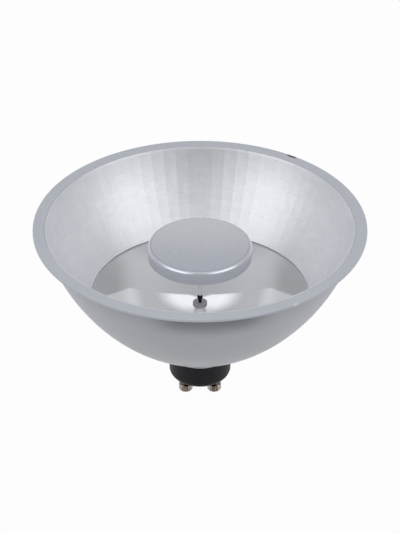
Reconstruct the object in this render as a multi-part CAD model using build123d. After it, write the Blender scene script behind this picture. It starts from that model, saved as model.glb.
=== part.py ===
"""LED spot bulb: reflector lamp with a two-pin mains base, opening upwards.

Millimetres. The origin is on the lamp's axis, level with the tips of the pins.
+Z points to the light's exit and the two pins lie along X.
"""
import os
from math import cos, pi, sqrt

from build123d import *

# bowl
RIM_D = 111.0           # outside of the rim flange
FLANGE_W = 2.8          # flange beyond the wall's outside
FLOOR_LIP = 0.5         # floor beyond the neck
BOWL_DEPTH = 48.4       # rim to the underside of the floor
BOWL_ARC_R = 72.0       # radius of the wall's profile, outside
WALL = 1.0              # sheet of the bowl
FLANGE_BEND_R = 2.0     # bend between flange and wall, underneath
EDGE_R = 0.25           # broken edges of the flange
NECK_WALL = 0.8
NECK_H = 3.1            # collar below the floor, round the base
NEST_GAP = 0.05         # between the bowl and what is nested in it

# reflectors
SATIN_T = 0.4
SATIN_DROP = 0.25       # its upper edge below the rim
RING_DEPTH = 27.8       # rim to the ring where the satin reflector ends
FACETS = 72             # flats round the satin reflector
FACET_ROWS = 16         # flats from the rim to the ring
MIRROR_T = 0.35
MIRROR_R = 150.0        # radius of the mirror dish, inside
RING_GAP = 0.12         # between the satin reflector and the mirror dish
MIRROR_FLAT_R = 3.0     # flat at the bottom of the dish

# base
BASE_D = 21.4
BASE_H = 12.9           # end face to the floor of the bowl
BASE_WALL = 1.3
BASE_END_T = 1.6
BASE_END_R = 2.5        # rounding of the end face
LEDGE_W = 0.7           # shoulder that the driver board lies on
HEADROOM = 0.6          # tallest part of the driver to the floor of the bowl
BASE_FIT = 0.1          # between base and neck
BOSS_R = 2.2            # screw boss in the base
BOSS_IN = 2.0           # screw to the base's inside
SCREW_R = 1.0
SCREW_HEAD_R = 1.9
SCREW_HEAD_H = 1.3
SCREW_BITE = 6.5        # length in the boss
SCREW_FIT = 0.02        # thread in its hole
SCREW_CLEAR = 0.2       # shank in a plain hole

# contact pins
PIN_PITCH = 10.0
PIN_L = 7.6             # below the end face
PIN_HEAD_D = 4.9
PIN_HEAD_L = 2.8
PIN_NECK_D = 3.1
PIN_END_R = 0.6
PIN_FIT = 0.03
RIVET_D = 4.2           # turned-over end inside the base
RIVET_T = 0.5
LEAD_D = 0.9            # mains lead
LEAD_FIT = 0.05
LEAD_DEPTH = 5.0        # end of the lead inside the pin, below the end face

# cap and light source
CAP_D = 35.1
CAP_H = 4.7
CAP_DEPTH = 8.2         # rim to the cap's top
CAP_TOP_T = 2.2
CAP_SKIRT = 1.3
CAP_EDGE_R = 1.2
PAD_T = 0.3
BOARD_T = 1.2
BOARD_GAP = 0.3         # board edge to the cap's skirt
BOARD_HOLE_GAP = 0.9    # board to the stem
CHIPS = 9
CHIP_W = 3.0
CHIP_H = 0.7
CHIP_IN = 6.35          # chip to the board's edge
BOARD_SCREWS = 3
BOARD_SCREW_IN = 2.55   # screw to the board's edge
BOARD_SCREW_R = 1.0
BOARD_HEAD_R = 1.8
BOARD_HEAD_H = 0.9
BOARD_SCREW_BITE = 1.5

# stem
POST_HEAD_D = 4.9       # flat head of the post, on the dish
POST_HEAD_T = 0.5
STUD_R = 1.5            # the post's threaded shank, through the dish and the floor
STUD_FIT = 0.1
TUBE_D = 0.8
TUBE_WALL = 0.1
POST_BORE_STEP = 0.03   # post's bore beyond the tube's
TUBE_IN_POST = 6.0
TUBE_IN_CAP = 1.5
TUBE_FIT = 0.02
BUSH_WALL = 0.525       # round the tube, at the bush's head
BUSH_NECK_WALL = 0.15
BUSH_H = 2.55
BUSH_NECK_H = 1.7
BUSH_EDGE_R = 0.15
SPACER_WALL = 1.4       # tube between the dish and the floor of the bowl
NUT_AF = 5.5
NUT_H = 1.6
WASHER_D = 6.0
WASHER_T = 0.5

# driver
BOARD_FIT = 0.1
PCB_T = 1.0
CAPACITOR_D = 5.0
CAPACITOR_H = 5.0
CHOKE_D = 5.0
CHOKE_H = 4.5
CHOKE_WAIST_D = 3.6
CHOKE_FLANGE = 0.8
PCB_MARGIN = 0.3        # capacitor and choke to the board's edge
FILM_L = 4.4
FILM_W = 2.2
FILM_H = 4.4
FILM_IN = 2.5           # to the board's edge
FUSE_D = 2.2
FUSE_L = 5.0
FUSE_IN = 2.5           # to the board's edge
BRIDGE_L = 4.7
BRIDGE_W = 3.8
BRIDGE_H = 1.5
CHIP_L = 4.9
CHIP_D = 3.8
CHIP_T = 1.5
SMD_AT = 3.1            # axis to the parts under the board

# leads to the light source
WIRE_D = 0.22
WIRE_GAP = 0.05         # between the two wires inside the stem
WIRE_BEND_R = 0.3
WIRE_PAD_IN = 2.9       # wire's joint to the driver board's edge
WIRE_RISE = 1.8         # driver board to the wire's crossing
WIRE_END_IN = 1.2       # wire's joint to the hole in the light source's board
WIRE_DROP = 2.2         # board to the wire's way out of the tube
WIRE_HOLE_GAP = 0.1     # wire in its way out of the tube

# levels and radii that follow
RIM_R = RIM_D / 2
END_Z = PIN_L
FLOOR_Z = END_Z + BASE_H
RIM_Z = FLOOR_Z + BOWL_DEPTH
FLOOR_TOP = FLOOR_Z + WALL
RING_Z = RIM_Z - RING_DEPTH
SATIN_TOP = RIM_Z - SATIN_DROP
DISH_TOP = RING_Z - RING_GAP
CAP_TOP = RIM_Z - CAP_DEPTH
CAP_BOTTOM = CAP_TOP - CAP_H
CAP_CEILING = CAP_TOP - CAP_TOP_T
BOARD_TOP = CAP_CEILING - PAD_T
BOARD_BOTTOM = BOARD_TOP - BOARD_T
BOARD_R = CAP_D / 2 - CAP_SKIRT - BOARD_GAP
BOARD_HOLE_R = TUBE_D / 2 + BOARD_HOLE_GAP
PCB_TOP = FLOOR_Z - HEADROOM - CAPACITOR_H
LEDGE_Z = PCB_TOP - PCB_T
END_TOP = END_Z + BASE_END_T
BASE_R = BASE_D / 2
BASE_BORE_R = BASE_R - BASE_WALL
BOSS_AT = BASE_BORE_R - BOSS_IN
NECK_R = BASE_R + BASE_FIT
PCB_R = BASE_BORE_R - BOARD_FIT
STUD_END = FLOOR_Z - WASHER_T - NUT_H
WIRE_OUT_Z = BOARD_BOTTOM - WIRE_DROP
WIRE_CROSS_Z = PCB_TOP + WIRE_RISE
WIRE_AT = (WIRE_D + WIRE_GAP) / 2
WIRE_END_X = BOARD_HOLE_R + WIRE_END_IN
TUBE_BORE_R = TUBE_D / 2 - TUBE_WALL
BUSH_R = TUBE_D / 2 + BUSH_WALL

# centre of the wall's profile, from its two ends and its radius
MOUTH_R = RIM_R - FLANGE_W
FLOOR_R = NECK_R + NECK_WALL + FLOOR_LIP
CHORD = sqrt((MOUTH_R - FLOOR_R) ** 2 + BOWL_DEPTH**2)
SAG = sqrt(BOWL_ARC_R**2 - (CHORD / 2) ** 2)
ARC_X = (MOUTH_R + FLOOR_R) / 2 - SAG * BOWL_DEPTH / CHORD
ARC_Z = (RIM_Z + FLOOR_Z) / 2 + SAG * (MOUTH_R - FLOOR_R) / CHORD

SATIN_OUT = WALL + NEST_GAP
SATIN_IN = SATIN_OUT + SATIN_T


def wall_r(z, inset):
    """Radius at a level on the wall's profile, set in from the bowl's outside."""
    return ARC_X + sqrt((BOWL_ARC_R - inset) ** 2 - (z - ARC_Z) ** 2)


def dish(inset):
    """Section inside the wall's profile, set in from the bowl's outside."""
    return Pos(ARC_X, ARC_Z) * Circle(BOWL_ARC_R - inset)


def band(r0, r1, z0, z1):
    """Section between two radii and two levels."""
    return Pos((r0 + r1) / 2, (z0 + z1) / 2) * Rectangle(r1 - r0, z1 - z0)


def turned(section):
    """Solid of revolution from a section in radius and height."""
    return revolve(Plane.XZ * section, Axis.Z, 360)


def rod(r, z0, z1, x=0, y=0):
    """Upright cylinder between two levels."""
    return Pos(x, y, (z0 + z1) / 2) * Cylinder(r, z1 - z0)


def block(length, width, z0, z1, x=0, y=0):
    """Upright box between two levels."""
    return Pos(x, y, (z0 + z1) / 2) * Box(length, width, z1 - z0)


def around(radius, count, start=0):
    """Evenly spaced places on a circle."""
    return [Rot(0, 0, start + i * 360 / count) * Pos(radius, 0, 0) for i in range(count)]


def wire(points, d):
    """Round wire along straight runs and bends."""
    path = FilletPolyline(*points, radius=WIRE_BEND_R)
    return sweep(Plane(origin=path @ 0, z_dir=path % 0) * Circle(d / 2), path)


# centre of the mirror dish, whose edge lies against the bowl below the ring
MIRROR_Z = DISH_TOP + sqrt((MIRROR_R + MIRROR_T) ** 2 - wall_r(DISH_TOP, SATIN_OUT) ** 2)
DISH_FLOOR_TOP = MIRROR_Z - sqrt(MIRROR_R**2 - MIRROR_FLAT_R**2)
DISH_FLOOR_Z = DISH_FLOOR_TOP - MIRROR_T
POST_TOP = DISH_FLOOR_TOP + POST_HEAD_T

# bowl: wall, floor, neck and rim flange in one section
section = (dish(0) - dish(WALL)) & band(0, RIM_R, FLOOR_Z, RIM_Z)
section += band(0, RIM_R, FLOOR_Z, FLOOR_TOP) & dish(0)
section += band(NECK_R, NECK_R + NECK_WALL, FLOOR_Z - NECK_H, FLOOR_TOP)
section += band(0, RIM_R, RIM_Z - WALL, RIM_Z) - dish(WALL)
bend = section.vertices().sort_by_distance((wall_r(RIM_Z - WALL, 0), RIM_Z - WALL))[0]
section = fillet(bend, FLANGE_BEND_R)
rim_edges = [v for v in section.vertices() if v.X > RIM_R - EDGE_R]
rim_edges.append(section.vertices().sort_by_distance((wall_r(RIM_Z, WALL), RIM_Z))[0])
section = fillet(rim_edges, EDGE_R)
reflector_housing = turned(section)
screw_places = around(BOSS_AT, 2, 90)
reflector_housing -= rod(STUD_R + STUD_FIT, FLOOR_Z, FLOOR_TOP)
for place in screw_places:
    reflector_housing -= place * rod(SCREW_R + SCREW_CLEAR, FLOOR_Z, FLOOR_TOP)

# satin reflector: a turned shell, its inside cut to flats by a many-sided core
section = dish(SATIN_OUT) & band(0, RIM_R, RING_Z, SATIN_TOP)
core = []
for i in range(FACET_ROWS + 1):
    level = RING_Z + (SATIN_TOP - RING_Z) * i / FACET_ROWS
    flats = RegularPolygon(wall_r(level, SATIN_IN), FACETS, major_radius=False)
    core.append(Pos(0, 0, level) * flats)
satin_reflector = turned(section) - loft(core, ruled=True)

# mirror dish: a shallow spherical dish with a flat for the head of the stem's post
shell = Pos(0, MIRROR_Z) * Circle(MIRROR_R + MIRROR_T)
section = (shell - Pos(0, MIRROR_Z) * Circle(MIRROR_R)) & band(0, RIM_R, DISH_FLOOR_Z, DISH_TOP)
section += shell & band(0, RIM_R, DISH_FLOOR_Z, DISH_FLOOR_TOP)
mirror_dish = turned(section) - rod(STUD_R + STUD_FIT, DISH_FLOOR_Z, DISH_FLOOR_TOP)

# cap: a shallow cup over the light source
section = band(0, CAP_D / 2, CAP_BOTTOM, CAP_TOP)
section = fillet(section.vertices().sort_by_distance((CAP_D / 2, CAP_TOP))[0], CAP_EDGE_R)
section -= band(0, CAP_D / 2 - CAP_SKIRT, CAP_BOTTOM, CAP_CEILING)
glare_cap = turned(section) - rod(TUBE_D / 2 + TUBE_FIT, CAP_CEILING, CAP_CEILING + TUBE_IN_CAP)
board_screw_places = around(BOARD_R - BOARD_SCREW_IN, BOARD_SCREWS, 90)
for place in board_screw_places:
    glare_cap -= place * rod(BOARD_SCREW_R + SCREW_FIT, CAP_CEILING, CAP_CEILING + BOARD_SCREW_BITE)

thermal_pad = rod(BOARD_R, BOARD_TOP, CAP_CEILING) - rod(BOARD_HOLE_R, BOARD_TOP, CAP_CEILING)
led_board = rod(BOARD_R, BOARD_BOTTOM, BOARD_TOP) - rod(BOARD_HOLE_R, BOARD_BOTTOM, BOARD_TOP)
for place in board_screw_places:
    led_board -= place * rod(BOARD_SCREW_R + SCREW_CLEAR, BOARD_BOTTOM, BOARD_TOP)
    thermal_pad -= place * rod(BOARD_SCREW_R + SCREW_CLEAR, BOARD_TOP, CAP_CEILING)
chip = block(CHIP_W, CHIP_W, BOARD_BOTTOM - CHIP_H, BOARD_BOTTOM)
led_chips = Compound([place * chip for place in around(BOARD_R - CHIP_IN, CHIPS, 90 + 180 / CHIPS)])
screw = rod(BOARD_HEAD_R, BOARD_BOTTOM - BOARD_HEAD_H, BOARD_BOTTOM)
screw = fillet(screw.edges().sort_by(Axis.Z)[0], BOARD_HEAD_H / 3)
screw += rod(BOARD_SCREW_R, BOARD_BOTTOM, CAP_CEILING + BOARD_SCREW_BITE)
board_screws = Compound([place * screw for place in board_screw_places])

# stem: flat-headed post through the dish, thin tube up to the cap, bush where the tube leaves the post
stem_post = rod(POST_HEAD_D / 2, DISH_FLOOR_TOP, POST_TOP) + rod(STUD_R, STUD_END, DISH_FLOOR_TOP)
stem_post -= rod(TUBE_BORE_R + POST_BORE_STEP, STUD_END, POST_TOP)
stem_post -= rod(TUBE_D / 2 + TUBE_FIT, POST_TOP - TUBE_IN_POST, POST_TOP)
stem_tube = rod(TUBE_D / 2, POST_TOP - TUBE_IN_POST, CAP_CEILING + TUBE_IN_CAP)
stem_tube -= rod(TUBE_BORE_R, POST_TOP - TUBE_IN_POST, CAP_CEILING + TUBE_IN_CAP)
stem_tube -= Pos(0, 0, WIRE_OUT_Z) * Rot(0, 90, 0) * Cylinder(WIRE_D / 2 + WIRE_HOLE_GAP, 2 * TUBE_D)
stem_bush = rod(BUSH_R, POST_TOP + BUSH_NECK_H, POST_TOP + BUSH_H)
stem_bush = fillet(stem_bush.edges().sort_by(Axis.Z)[-1], BUSH_EDGE_R)
stem_bush += rod(TUBE_D / 2 + BUSH_NECK_WALL, POST_TOP, POST_TOP + BUSH_NECK_H)
stem_bush -= rod(TUBE_D / 2 + TUBE_FIT, POST_TOP, POST_TOP + BUSH_H)
stem_spacer = rod(STUD_R + STUD_FIT + SPACER_WALL, FLOOR_TOP, DISH_FLOOR_Z)
stem_spacer -= rod(STUD_R + STUD_FIT, FLOOR_TOP, DISH_FLOOR_Z)
nut = extrude(RegularPolygon(NUT_AF / 2, 6, major_radius=False), NUT_H)
stem_nut = Pos(0, 0, STUD_END) * Rot(0, 0, 30) * nut - rod(STUD_R + TUBE_FIT, STUD_END, STUD_END + NUT_H)
lock_washer = rod(WASHER_D / 2, FLOOR_Z - WASHER_T, FLOOR_Z)
lock_washer -= rod(STUD_R + STUD_FIT, FLOOR_Z - WASHER_T, FLOOR_Z)

# base: a cup with a shoulder for the driver board and two screw bosses
section = band(0, BASE_R, END_Z, FLOOR_Z)
section = fillet(section.vertices().sort_by_distance((BASE_R, END_Z))[0], BASE_END_R)
section -= band(0, BASE_BORE_R, LEDGE_Z, FLOOR_Z)
section -= band(0, BASE_BORE_R - LEDGE_W, END_TOP, LEDGE_Z)
base_shell = turned(section)
shell_room = rod(BASE_R - BASE_WALL / 2, END_TOP, FLOOR_Z)
for place in screw_places:
    base_shell += place * rod(BOSS_R, END_TOP, FLOOR_Z) & shell_room
for place in screw_places:
    base_shell -= place * rod(SCREW_R + SCREW_FIT, FLOOR_Z - SCREW_BITE, FLOOR_Z)
pin_places = around(PIN_PITCH / 2, 2)
for place in pin_places:
    base_shell -= place * rod(PIN_NECK_D / 2 + PIN_FIT, END_Z, END_TOP)

screw = rod(SCREW_HEAD_R, FLOOR_TOP, FLOOR_TOP + SCREW_HEAD_H)
screw = fillet(screw.edges().sort_by(Axis.Z)[-1], SCREW_HEAD_H / 3)
screw += rod(SCREW_R, FLOOR_Z - SCREW_BITE, FLOOR_TOP)
base_screws = Compound([place * screw for place in screw_places])

# contact pins: riveted through the end of the base, with the lead inside
pin = rod(PIN_HEAD_D / 2, END_Z - PIN_L, END_Z - PIN_L + PIN_HEAD_L)
pin = fillet(pin.edges().filter_by(GeomType.CIRCLE), PIN_END_R)
pin += rod(PIN_NECK_D / 2, END_Z - PIN_L + PIN_HEAD_L, END_TOP)
pin += rod(RIVET_D / 2, END_TOP, END_TOP + RIVET_T)
pin -= rod(LEAD_D / 2 + LEAD_FIT, END_Z - LEAD_DEPTH, END_TOP + RIVET_T)
lead = rod(LEAD_D / 2, END_Z - LEAD_DEPTH, PCB_TOP)
live_pin = pin_places[0] * pin
neutral_pin = pin_places[1] * pin
live_lead = pin_places[0] * lead
neutral_lead = pin_places[1] * lead

# driver: a round board on the shoulder, with parts on both sides
driver_board = rod(PCB_R, LEDGE_Z, PCB_TOP)
for place in screw_places:
    driver_board -= place * rod(BOSS_R + BOARD_FIT, LEDGE_Z, PCB_TOP)
for place in pin_places:
    driver_board -= place * rod(LEAD_D / 2 + LEAD_FIT, LEDGE_Z, PCB_TOP)
capacitor_x = CAPACITOR_D / 2 + PCB_MARGIN - PCB_R
smoothing_capacitor = rod(CAPACITOR_D / 2, PCB_TOP, PCB_TOP + CAPACITOR_H, capacitor_x)
smoothing_capacitor = fillet(smoothing_capacitor.edges().sort_by(Axis.Z)[-1], CAPACITOR_D / 10)
choke_x = PCB_R - PCB_MARGIN - CHOKE_D / 2
choke = rod(CHOKE_WAIST_D / 2, PCB_TOP, PCB_TOP + CHOKE_H, choke_x)
choke += rod(CHOKE_D / 2, PCB_TOP, PCB_TOP + CHOKE_FLANGE, choke_x)
choke += rod(CHOKE_D / 2, PCB_TOP + CHOKE_H - CHOKE_FLANGE, PCB_TOP + CHOKE_H, choke_x)
film_capacitor = block(FILM_W, FILM_L, PCB_TOP, PCB_TOP + FILM_H)
film_capacitor = fillet(film_capacitor.edges().filter_by(Axis.Z), FILM_W / 8)
film_capacitor = Rot(0, 0, 135) * Pos(PCB_R - FILM_IN, 0, 0) * film_capacitor
fuse_resistor = Pos(PCB_R - FUSE_IN, 0, PCB_TOP + FUSE_D / 2) * Rot(90, 0, 0) * Cylinder(FUSE_D / 2, FUSE_L)
fuse_resistor = Rot(0, 0, 225) * fillet(fuse_resistor.edges().filter_by(GeomType.CIRCLE), FUSE_D / 5)
bridge_rectifier = block(BRIDGE_L, BRIDGE_W, LEDGE_Z - BRIDGE_H, LEDGE_Z, 0, SMD_AT)
driver_chip = block(CHIP_L, CHIP_D, LEDGE_Z - CHIP_T, LEDGE_Z, 0, -SMD_AT)

# leads from the driver through the stem to the light source
pad = (PCB_R - WIRE_PAD_IN) * cos(pi / 4)
positive_lead = wire(
    [
        (pad, pad, PCB_TOP),
        (pad, pad, WIRE_CROSS_Z),
        (WIRE_AT, 0, WIRE_CROSS_Z),
        (WIRE_AT, 0, WIRE_OUT_Z),
        (WIRE_END_X, 0, WIRE_OUT_Z),
        (WIRE_END_X, 0, BOARD_BOTTOM),
    ],
    WIRE_D,
)
negative_lead = wire(
    [
        (pad, -pad, PCB_TOP),
        (pad, -pad, WIRE_CROSS_Z),
        (-WIRE_AT, 0, WIRE_CROSS_Z),
        (-WIRE_AT, 0, WIRE_OUT_Z),
        (-WIRE_END_X, 0, WIRE_OUT_Z),
        (-WIRE_END_X, 0, BOARD_BOTTOM),
    ],
    WIRE_D,
)

nodes = {
    "reflector_housing": reflector_housing,
    "satin_reflector": satin_reflector,
    "mirror_dish": mirror_dish,
    "glare_cap": glare_cap,
    "thermal_pad": thermal_pad,
    "led_board": led_board,
    "led_chips": led_chips,
    "board_screws": board_screws,
    "stem_post": stem_post,
    "stem_bush": stem_bush,
    "stem_tube": stem_tube,
    "stem_spacer": stem_spacer,
    "stem_nut": stem_nut,
    "lock_washer": lock_washer,
    "base_shell": base_shell,
    "base_screws": base_screws,
    "live_pin": live_pin,
    "neutral_pin": neutral_pin,
    "live_lead": live_lead,
    "neutral_lead": neutral_lead,
    "driver_board": driver_board,
    "smoothing_capacitor": smoothing_capacitor,
    "choke": choke,
    "film_capacitor": film_capacitor,
    "fuse_resistor": fuse_resistor,
    "bridge_rectifier": bridge_rectifier,
    "driver_chip": driver_chip,
    "positive_lead": positive_lead,
    "negative_lead": negative_lead,
}

os.makedirs("parts", exist_ok=True)
for name, solid in nodes.items():
    export_step(solid, f"parts/{name}.step")
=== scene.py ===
import math

import bpy
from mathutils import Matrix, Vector


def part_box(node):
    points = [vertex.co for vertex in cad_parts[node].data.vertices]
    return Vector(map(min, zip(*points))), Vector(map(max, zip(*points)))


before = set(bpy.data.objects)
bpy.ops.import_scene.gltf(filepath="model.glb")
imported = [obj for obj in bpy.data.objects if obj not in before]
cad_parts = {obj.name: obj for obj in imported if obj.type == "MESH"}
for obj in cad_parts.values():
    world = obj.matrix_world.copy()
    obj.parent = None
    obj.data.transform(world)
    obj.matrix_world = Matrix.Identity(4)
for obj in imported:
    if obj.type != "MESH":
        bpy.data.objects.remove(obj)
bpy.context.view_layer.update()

MM = 0.001
RIM_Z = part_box("reflector_housing")[1].z
FLOOR_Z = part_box("live_pin")[0].z

# places on the lamp, in millimetres
RIM_TOP = RIM_Z / MM
RIM_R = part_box("reflector_housing")[1].x / MM
SATIN_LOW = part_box("satin_reflector")[0].z / MM
SATIN_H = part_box("satin_reflector")[1].z / MM - SATIN_LOW
CAP_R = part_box("glare_cap")[1].x / MM
CAP_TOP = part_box("glare_cap")[1].z / MM
PIN_AT = sum(corner.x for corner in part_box("live_pin")) / 2 / MM

# looks, in millimetres where nothing else is said
FACETS = 72                     # flats round the satin reflector
FACET_ROWS = 16
EDGE_HIGHLIGHT_Y = (25.0, 45.0)      # painted highlight along the satin's top edge, at the back: from none to full
CHIP_AT = 53.8                  # chip in the rim's paint: degrees round the axis from +X
CHIP_SIZE = (4.6, 1.0)          # along and across the rim
SCRATCH_AT = -57.4
SCRATCH_SIZE = (2.6, 0.22)
# painted shade under the rim's lip: a little all round, deepest in a patch at the front
LIP_SHADE_DEPTH = (13.0, 4.0)   # below the rim's top: from none to full
LIP_SHADE_SHARE = (0.12, 0.9)   # all round, and in its deeper part at the front
LIP_SHADE_LEFT = (-22.0, -3.0)  # x of the deeper part: from none to full
LIP_SHADE_RIGHT = (28.0, 10.0)
LIP_SHADE_Y = (0.0, -30.0)
DULL_SPOT_AT = 5.4                 # dull spot on the dish, in front of the stem
DULL_SPOT_SIZE = (2.8, 4.2)        # half its size along x and y

# studio: brightness of its parts
ROOM = 0.55
ROOM_TOP = 0.12                 # added overhead
ROOM_FRONT = 0.27               # taken away at the camera's side
GLOW = 0.12                     # added behind the lamp, half way up
GLOW_SIDES = 0.11               # added to the left and right of the glow's middle
PANEL = 0.80                    # added by the bright panel behind
WINGS = 0.31                    # added by the panel's two wings
SOFTBOX_LEFT = 1.55
SOFTBOX_RIGHT = 1.50
FLOOR_TONES = (0.56, 0.59)
FLOOR_SHOWN = 0.97              # share of the floor that shows as plain white

# studio: parts of a direction of length 1, between which the room brightens
FRONT_FADE = (-0.9, -0.3)       # y, from the camera's side
TOP_FADE = (0.6, 0.9)           # z
HORIZON = 0.05                  # lowest z that the places below are worked out with

# studio: places to the side and behind, on a level plane one unit above the lamp; pairs run from none to full
LIT_NEAR = (0.6, 0.9)           # behind: start and end of glow and panel
LIT_FAR = (2.6, 2.0)
GLOW_SPREAD = 0.19              # from the glow's middle to its brighter sides
GLOW_END = (0.31, 0.22)
PANEL_AT = 1.265                # the panel's near edge, where it is brightest
PANEL_EDGE = (1.255, 1.275)
PANEL_SIZE = (0.165, 0.50)      # half its width, and its depth
PANEL_FADE = (1.0, 0.48)        # shares of that size
WING_FROM = (0.20, 0.26)        # to each side
WING_EDGE = (1.225, 1.265)      # the wings' near edge, at their corner
WING_CORNER = 0.245
WING_SLANT = 2.8                # how fast that edge recedes to the side
WING_END = (1.72, 1.56)

# studio: sizes in metres and degrees
FLOOR_SIZE = 40.0
SOFTBOX_AZIMUTH = 54            # to each side of the camera
SOFTBOX_ELEVATION = 32
SOFTBOX_AWAY = 1.0
SOFTBOX_SIZE = (0.95, 0.90)

# camera, fitted to the rim and pins in the photograph
CAMERA_D = 600 * MM
CAMERA_E = math.radians(32.27)
AIM_DEPTH = 17.2 * MM
LENS = 121.9
SENSOR = 36
CLIP_START = 10 * MM


class Graph:
    """A node tree, with short calls for the nodes used here."""

    def __init__(self, owner, output="ShaderNodeOutputMaterial"):
        owner.use_nodes = True
        self.owner = owner
        self.tree = owner.node_tree
        self.tree.nodes.clear()
        self.out = self.tree.nodes.new(output)

    def node(self, kind, inputs=(), **settings):
        node = self.tree.nodes.new(kind)
        for key, value in settings.items():
            setattr(node, key, value)
        for key, value in dict(inputs).items():
            self.put(node.inputs[key], value)
        return node

    def put(self, socket, value):
        if isinstance(value, bpy.types.NodeSocket):
            self.tree.links.new(value, socket)
        else:
            socket.default_value = value

    def math(self, operation, a, b=0.0):
        return self.node("ShaderNodeMath", {0: a, 1: b}, operation=operation).outputs[0]

    def plus(self, a, b):
        return self.math("ADD", a, b)

    def minus(self, a, b):
        return self.math("SUBTRACT", a, b)

    def times(self, a, b):
        return self.math("MULTIPLY", a, b)

    def over(self, a, b):
        return self.math("DIVIDE", a, b)

    def hypot(self, a, b):
        return self.math("SQRT", self.plus(self.times(a, a), self.times(b, b)))

    def ramp(self, value, low, high, to_low=0.0, to_high=1.0):
        """Smooth step from one level to another. Low may lie above high."""
        levels = {"Value": value, "From Min": low, "From Max": high, "To Min": to_low, "To Max": to_high}
        return self.node("ShaderNodeMapRange", levels, interpolation_type="SMOOTHSTEP").outputs["Result"]

    def mix(self, factor, a, b):
        return self.node("ShaderNodeMix", {0: factor, 6: a, 7: b}, data_type="RGBA").outputs[2]

    def place(self):
        """Position in millimetres: the vector and its three parts."""
        coords = self.node("ShaderNodeTexCoord").outputs["Object"]
        scaled = self.node("ShaderNodeVectorMath", {0: coords, 3: 1 / MM}, operation="SCALE").outputs[0]
        return scaled, *self.node("ShaderNodeSeparateXYZ", {0: scaled}).outputs

    def vector(self, x, y):
        return self.node("ShaderNodeCombineXYZ", {0: x, 1: y}).outputs[0]

    def noise(self, vector, scale, detail=2.0):
        inputs = {"Vector": vector, "Scale": scale, "Detail": detail}
        return self.node("ShaderNodeTexNoise", inputs).outputs["Fac"]

    def streaks(self, value, detail):
        """Noise along one value only."""
        inputs = {"W": value, "Detail": detail}
        return self.node("ShaderNodeTexNoise", inputs, noise_dimensions="1D").outputs["Fac"]

    def bump(self, height, distance, strength):
        inputs = {"Height": height, "Distance": distance, "Strength": strength}
        return self.node("ShaderNodeBump", inputs).outputs["Normal"]

    def surface(self, **sockets):
        inputs = {key.replace("_", " "): value for key, value in sockets.items()}
        self.finish(self.node("ShaderNodeBsdfPrincipled", inputs))
        return self.owner

    def finish(self, shader):
        self.tree.links.new(shader.outputs[0], self.out.inputs["Surface"])


def material(name):
    return Graph(bpy.data.materials.new(name))


def rgb(r, g, b):
    """Linear colour from a screen colour of 0 to 255."""
    def one(v):
        v /= 255
        return v / 12.92 if v <= 0.04045 else ((v + 0.055) / 1.055) ** 2.4
    return (one(r), one(g), one(b), 1.0)


def scaled_tone(tone, factor, offset=0.0):
    return tuple(min(1.0, v * factor + offset) for v in tone[:3]) + (1.0,)


def rim_mark(g, place, degrees, size):
    """Mask of a ragged mark at the rim's outer edge."""
    vector, x, y, z = place
    a = math.radians(degrees)
    length, width = size
    along = g.plus(g.times(x, -math.sin(a)), g.times(y, math.cos(a)))
    out = g.plus(g.times(x, math.cos(a)), g.times(y, math.sin(a)))
    out = g.minus(out, RIM_R - width / 2)
    spread = g.hypot(g.over(along, length / 2), g.over(out, width))
    ragged = g.plus(spread, g.noise(vector, 1.6, 3.0))
    on_top = g.ramp(z, RIM_TOP - 1.2, RIM_TOP - 0.6)
    return g.times(g.ramp(ragged, 1.52, 1.15), on_top)


def grey_paint():
    """Flaked paint, with a chip and a scratch at the rim and a soft painted shade under its lip, deepest at
    the front.
    """
    g = material("grey_paint")
    place = g.place()
    vector, x, y, z = place
    flakes = g.noise(vector, 9.0)
    cloud = g.noise(vector, 0.06, 3.0)
    rim = g.ramp(z, RIM_TOP - 2.5, RIM_TOP - 0.8)
    # painted shade under the lip: a little all round, deepest at the front
    under_lip = g.times(g.ramp(g.minus(RIM_TOP, z), *LIP_SHADE_DEPTH), g.ramp(rim, 0.2, 0.0))
    front = g.times(g.ramp(x, *LIP_SHADE_LEFT), g.ramp(x, *LIP_SHADE_RIGHT))
    front = g.times(front, g.ramp(y, *LIP_SHADE_Y))
    shade = g.times(under_lip, g.ramp(front, 0.0, 1.0, *LIP_SHADE_SHARE))
    chip = rim_mark(g, place, CHIP_AT, CHIP_SIZE)
    scratch = rim_mark(g, place, SCRATCH_AT, SCRATCH_SIZE)
    worn = g.math("MAXIMUM", chip, scratch)
    tone = g.mix(rim, rgb(172, 173, 180), rgb(174, 178, 187))
    tone = g.mix(g.ramp(cloud, 0.35, 0.65, 0.0, 0.3), tone, rgb(186, 189, 197))
    tone = g.mix(g.ramp(flakes, 0.40, 0.62, 0.0, 0.35), tone, rgb(190, 194, 201))
    # painted shade: darker grey under the lip
    tone = g.mix(shade, tone, rgb(118, 120, 126))
    tone = g.mix(chip, tone, rgb(90, 86, 82))
    tone = g.mix(scratch, tone, rgb(200, 205, 211))
    return g.surface(
        Base_Color=tone,
        Roughness=g.plus(g.ramp(cloud, 0.3, 0.7, 0.36, 0.44), g.times(worn, 0.2)),
        Specular_IOR_Level=0.35,
        Normal=g.bump(g.minus(g.times(flakes, 0.1), worn), 0.0002, 0.4),
    )


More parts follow.
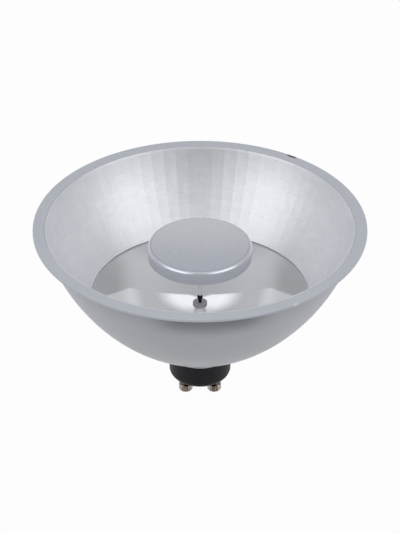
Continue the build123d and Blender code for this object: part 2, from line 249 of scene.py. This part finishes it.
def satin_metal():
    """Satin metal, a little different on each flat, with spun lines, short dashes, specks and a painted
    highlight along its top edge at the back.
    """
    g = material("satin_aluminium")
    vector, x, y, z = g.place()
    around = g.math("ARCTAN2", y, x)
    column = g.math("FLOOR", g.plus(g.times(around, FACETS / math.tau), 0.5))
    row = g.math("FLOOR", g.over(g.minus(z, SATIN_LOW), SATIN_H / FACET_ROWS))
    flat = {"Vector": g.vector(column, row)}
    shade = g.node("ShaderNodeTexWhiteNoise", flat, noise_dimensions="2D").outputs["Value"]
    lines = g.streaks(g.times(z, 1.8), 3.0)
    dashes = g.noise(g.vector(g.times(around, 16.0), g.times(z, 1.5)), 1.0)
    specks = g.noise(vector, 2.4, 0.0)
    # painted highlight: a light line along the satin's top edge, only at the back
    edge_highlight = g.times(g.ramp(z, RIM_TOP - 1.1, RIM_TOP - 0.6), g.ramp(y, *EDGE_HIGHLIGHT_Y))
    tone = g.mix(shade, rgb(227, 228, 232), rgb(232, 233, 236))
    tone = g.mix(g.ramp(lines, 0.42, 0.62, 0.0, 0.25), tone, rgb(211, 212, 217))
    tone = g.mix(g.ramp(dashes, 0.56, 0.70, 0.0, 0.22), tone, rgb(206, 206, 212))
    tone = g.mix(g.ramp(specks, 0.76, 0.80, 0.0, 0.35), tone, rgb(150, 152, 156))
    tone = g.mix(edge_highlight, tone, rgb(240, 241, 245))
    return g.surface(
        Base_Color=tone,
        Metallic=1.0,
        Roughness=g.plus(g.ramp(lines, 0.35, 0.65, 0.46, 0.52), g.times(shade, 0.02)),
        Normal=g.bump(lines, 0.00006, 0.5),
    )


def mirror_metal():
    """Bright metal, with a soft pale dull spot in front of the stem."""
    g = material("mirror_aluminium")
    vector, x, y, _ = g.place()
    haze = g.noise(vector, 0.15)
    across, along = DULL_SPOT_SIZE
    spread = g.hypot(g.over(x, across), g.over(g.plus(y, DULL_SPOT_AT), along))
    # pale, dull spot in front of the stem: near white and much rougher than the rest
    dull_spot = g.ramp(spread, 1.2, 0.3)
    tone = g.mix(haze, rgb(197, 198, 203), rgb(203, 204, 209))
    return g.surface(
        Base_Color=g.mix(dull_spot, tone, rgb(250, 250, 252)),
        Metallic=1.0,
        Roughness=g.plus(g.ramp(haze, 0.3, 0.7, 0.02, 0.04), g.times(dull_spot, 0.75)),
    )


def tube_metal():
    """Drawn metal with a faint haze."""
    g = material("polished_tube")
    haze = g.noise(g.place()[0], 0.15)
    return g.surface(
        Base_Color=g.mix(haze, rgb(200, 203, 211), rgb(206, 209, 217)),
        Metallic=1.0,
        Roughness=g.ramp(haze, 0.3, 0.7, 0.30, 0.32),
    )


def cap_paint():
    """Silver paint with painted light: paler towards the back of the top as a painted reflection, and lighter
    on the cap's side and edge as a painted sheen.
    """
    g = material("silver_paint")
    vector, _, y, z = g.place()
    flakes = g.noise(vector, 12.0)
    side = g.ramp(z, CAP_TOP - 0.01, CAP_TOP - 0.10)
    # painted reflection: the top is paler towards the back and darker at the front
    tone = g.mix(g.ramp(y, -CAP_R, CAP_R), rgb(151, 156, 167), rgb(183, 185, 190))
    # painted sheen: the cap's side and edge are painted lighter, which brightens their highlight
    tone = g.mix(side, tone, rgb(204, 208, 216))
    tone = g.mix(g.ramp(flakes, 0.4, 0.6, 0.0, 0.15), tone, rgb(214, 218, 226))
    return g.surface(
        Base_Color=tone,
        Metallic=0.6,
        Roughness=g.ramp(flakes, 0.3, 0.7, 0.22, 0.28),
        Coat_Weight=0.8,
        Coat_Roughness=0.18,
        Normal=g.bump(flakes, 0.00002, 0.15),
    )


def moulded(name, tone, rough, grain=6.0, gloss=0.5):
    """Plain piece with a fine grain."""
    g = material(name)
    speck = g.noise(g.place()[0], grain, 3.0)
    return g.surface(
        Base_Color=g.mix(g.ramp(speck, 0.4, 0.7), tone, scaled_tone(tone, 1.25, 0.002)),
        Roughness=g.ramp(speck, 0.3, 0.7, rough - 0.06, rough + 0.06),
        Specular_IOR_Level=gloss,
        Normal=g.bump(speck, 0.00003, 0.3),
    )


def plated(name, tone, rough):
    """Plated metal with faint upright streaks."""
    g = material(name)
    stretch = {"Vector": g.place()[0], "Scale": (3.0, 3.0, 0.4)}
    streaks = g.noise(g.node("ShaderNodeMapping", stretch).outputs[0], 1.5, 3.0)
    return g.surface(
        Base_Color=g.mix(g.ramp(streaks, 0.3, 0.7), scaled_tone(tone, 0.75), tone),
        Metallic=1.0,
        Roughness=g.ramp(streaks, 0.3, 0.7, rough - 0.06, rough + 0.08),
    )


def pin_metal():
    """Nickel plate with dark upright streaks along each pin, and painted shade where it faces the front."""
    g = material("nickel_pins")
    vector, x, y, _ = g.place()
    turn = g.math("ARCTAN2", y, g.minus(g.math("ABSOLUTE", x), PIN_AT))
    streaks = g.streaks(g.times(g.plus(turn, g.math("SIGN", x)), 1.9), 1.0)
    # painted shade: the streaks darken on the side of each pin that faces the front
    from_front = g.math("ABSOLUTE", g.plus(turn, math.pi / 2))
    streaks = g.plus(streaks, g.ramp(from_front, 0.2, 0.9, -0.16, 0.06))
    return g.surface(
        Base_Color=g.mix(g.ramp(streaks, 0.36, 0.64), rgb(98, 88, 79), rgb(182, 178, 171)),
        Metallic=1.0,
        Roughness=g.ramp(g.noise(vector, 1.5, 3.0), 0.3, 0.7, 0.12, 0.22),
    )


def phosphor():
    """Slightly cloudy yellow."""
    g = material("phosphor")
    cloud = g.noise(g.place()[0], 1.0)
    return g.surface(
        Base_Color=g.mix(cloud, rgb(232, 206, 110), rgb(246, 226, 140)),
        Roughness=g.ramp(cloud, 0.3, 0.7, 0.3, 0.4),
    )


steel = plated("zinc_steel", rgb(196, 196, 194), 0.28)
nickel = pin_metal()
copper = plated("tinned_lead", rgb(206, 190, 170), 0.3)
post_metal = moulded("post_aluminium", rgb(164, 162, 171), 0.5)
black = moulded("black_plastic", rgb(10, 8, 17), 0.5, gloss=0.2)
chip_case = moulded("chip_case", rgb(26, 26, 28), 0.5)
looks = {
    "reflector_housing": grey_paint(),
    "satin_reflector": satin_metal(),
    "mirror_dish": mirror_metal(),
    "glare_cap": cap_paint(),
    "thermal_pad": moulded("pad_silicone", rgb(190, 192, 196), 0.7),
    "led_board": moulded("white_board", rgb(238, 238, 236), 0.4, 3.0),
    "led_chips": phosphor(),
    "board_screws": steel,
    "stem_post": post_metal,
    "stem_bush": black,
    "stem_tube": tube_metal(),
    "stem_spacer": post_metal,
    "stem_nut": steel,
    "lock_washer": steel,
    "base_shell": black,
    "base_screws": steel,
    "live_pin": nickel,
    "neutral_pin": nickel,
    "live_lead": copper,
    "neutral_lead": copper,
    "driver_board": moulded("green_board", rgb(40, 96, 58), 0.4),
    "smoothing_capacitor": moulded("capacitor_sleeve", rgb(40, 42, 60), 0.3),
    "choke": moulded("ferrite", rgb(52, 52, 54), 0.6),
    "film_capacitor": moulded("film_case", rgb(176, 110, 50), 0.3),
    "fuse_resistor": moulded("resistor_body", rgb(110, 140, 150), 0.4),
    "bridge_rectifier": chip_case,
    "driver_chip": chip_case,
    "positive_lead": moulded("red_sleeve", rgb(170, 40, 34), 0.5),
    "negative_lead": moulded("black_sleeve", rgb(30, 30, 32), 0.5),
}
for name, look in looks.items():
    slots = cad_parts[name].data.materials
    slots.clear()
    slots.append(look)


def pale_floor():
    """White to the eye and in reflections, with the object's shadow left in."""
    g = material("pale_floor")
    rays = g.node("ShaderNodeLightPath").outputs
    shown = g.math("MAXIMUM", rays["Is Glossy Ray"], rays["Is Transmission Ray"])
    shown = g.math("MAXIMUM", rays["Is Camera Ray"], shown)
    low, high = [(tone, tone, tone, 1.0) for tone in FLOOR_TONES]
    pale = g.mix(g.noise(g.place()[0], 0.01), low, high)
    matt = g.node("ShaderNodeBsdfDiffuse", {"Color": pale}).outputs[0]
    white = g.node("ShaderNodeEmission", {"Color": (1, 1, 1, 1), "Strength": 1.0}).outputs[0]
    g.finish(g.node("ShaderNodeMixShader", {0: g.times(shown, FLOOR_SHOWN), 1: matt, 2: white}))
    return g.owner


def studio_room():
    """Pale room with a soft glow behind the lamp, half way up, and below it a bright panel with two wings."""
    world = bpy.data.worlds.new("studio")
    bpy.context.scene.world = world
    g = Graph(world, "ShaderNodeOutputWorld")
    way = g.node("ShaderNodeTexCoord").outputs["Generated"]
    x, y, z = g.node("ShaderNodeSeparateXYZ", {0: way}).outputs
    height = g.math("MAXIMUM", z, HORIZON)
    side = g.over(g.math("ABSOLUTE", x), height)
    back = g.over(y, height)

    glow = g.ramp(side, 0.0, GLOW_SPREAD, GLOW, GLOW + GLOW_SIDES)
    glow = g.times(glow, g.ramp(side, *GLOW_END))

    half_width, depth = PANEL_SIZE
    reach = g.hypot(g.over(side, half_width), g.over(g.minus(back, PANEL_AT), depth))
    panel = g.ramp(reach, *PANEL_FADE, 0.0, PANEL)
    slant = g.minus(back, g.times(g.minus(side, WING_CORNER), WING_SLANT))
    wings = g.times(g.ramp(side, *WING_FROM, 0.0, WINGS), g.ramp(slant, *WING_EDGE))
    wings = g.times(wings, g.ramp(back, *WING_END))
    panel = g.times(g.ramp(back, *PANEL_EDGE), g.plus(panel, wings))

    behind = g.times(g.ramp(back, *LIT_NEAR), g.ramp(back, *LIT_FAR))
    light = g.times(behind, g.plus(glow, panel))
    light = g.plus(light, g.ramp(y, *FRONT_FADE, ROOM - ROOM_FRONT, ROOM))
    light = g.plus(light, g.ramp(z, *TOP_FADE, 0.0, ROOM_TOP))
    g.finish(g.node("ShaderNodeBackground", {"Color": (1, 1, 1, 1), "Strength": light}))


def softbox(name, azimuth, radiance):
    """Rectangular soft light. Azimuth 0 is the camera's side, positive to its right."""
    a, e = math.radians(azimuth), math.radians(SOFTBOX_ELEVATION)
    away = Vector((math.sin(a) * math.cos(e), -math.cos(a) * math.cos(e), math.sin(e)))
    light = bpy.data.lights.new(name, "AREA")
    light.shape = "RECTANGLE"
    light.size, light.size_y = SOFTBOX_SIZE
    light.energy = radiance * math.pi * light.size * light.size_y
    lamp = bpy.data.objects.new(name, light)
    lamp.location = Vector((0, 0, RIM_Z)) + away * SOFTBOX_AWAY
    lamp.rotation_euler = away.to_track_quat("Z", "Y").to_euler()
    bpy.context.scene.collection.objects.link(lamp)


bpy.ops.mesh.primitive_plane_add(size=FLOOR_SIZE, location=(0, 0, FLOOR_Z))
floor = bpy.context.object
floor.name = "floor"
floor.data.materials.append(pale_floor())
studio_room()
softbox("softbox_left", -SOFTBOX_AZIMUTH, SOFTBOX_LEFT)
softbox("softbox_right", SOFTBOX_AZIMUTH, SOFTBOX_RIGHT)

eye = Vector((0, -CAMERA_D * math.cos(CAMERA_E), RIM_Z + CAMERA_D * math.sin(CAMERA_E)))
aim = Vector((0, 0, RIM_Z - AIM_DEPTH))
camera = bpy.data.cameras.new("camera")
camera.sensor_width = SENSOR
camera.lens = LENS
camera.clip_start = CLIP_START
viewer = bpy.data.objects.new("camera", camera)
viewer.location = eye
viewer.rotation_euler = (eye - aim).to_track_quat("Z", "Y").to_euler()
bpy.context.scene.collection.objects.link(viewer)
bpy.context.scene.camera = viewer
bpy.context.scene.view_settings.view_transform = "Standard"
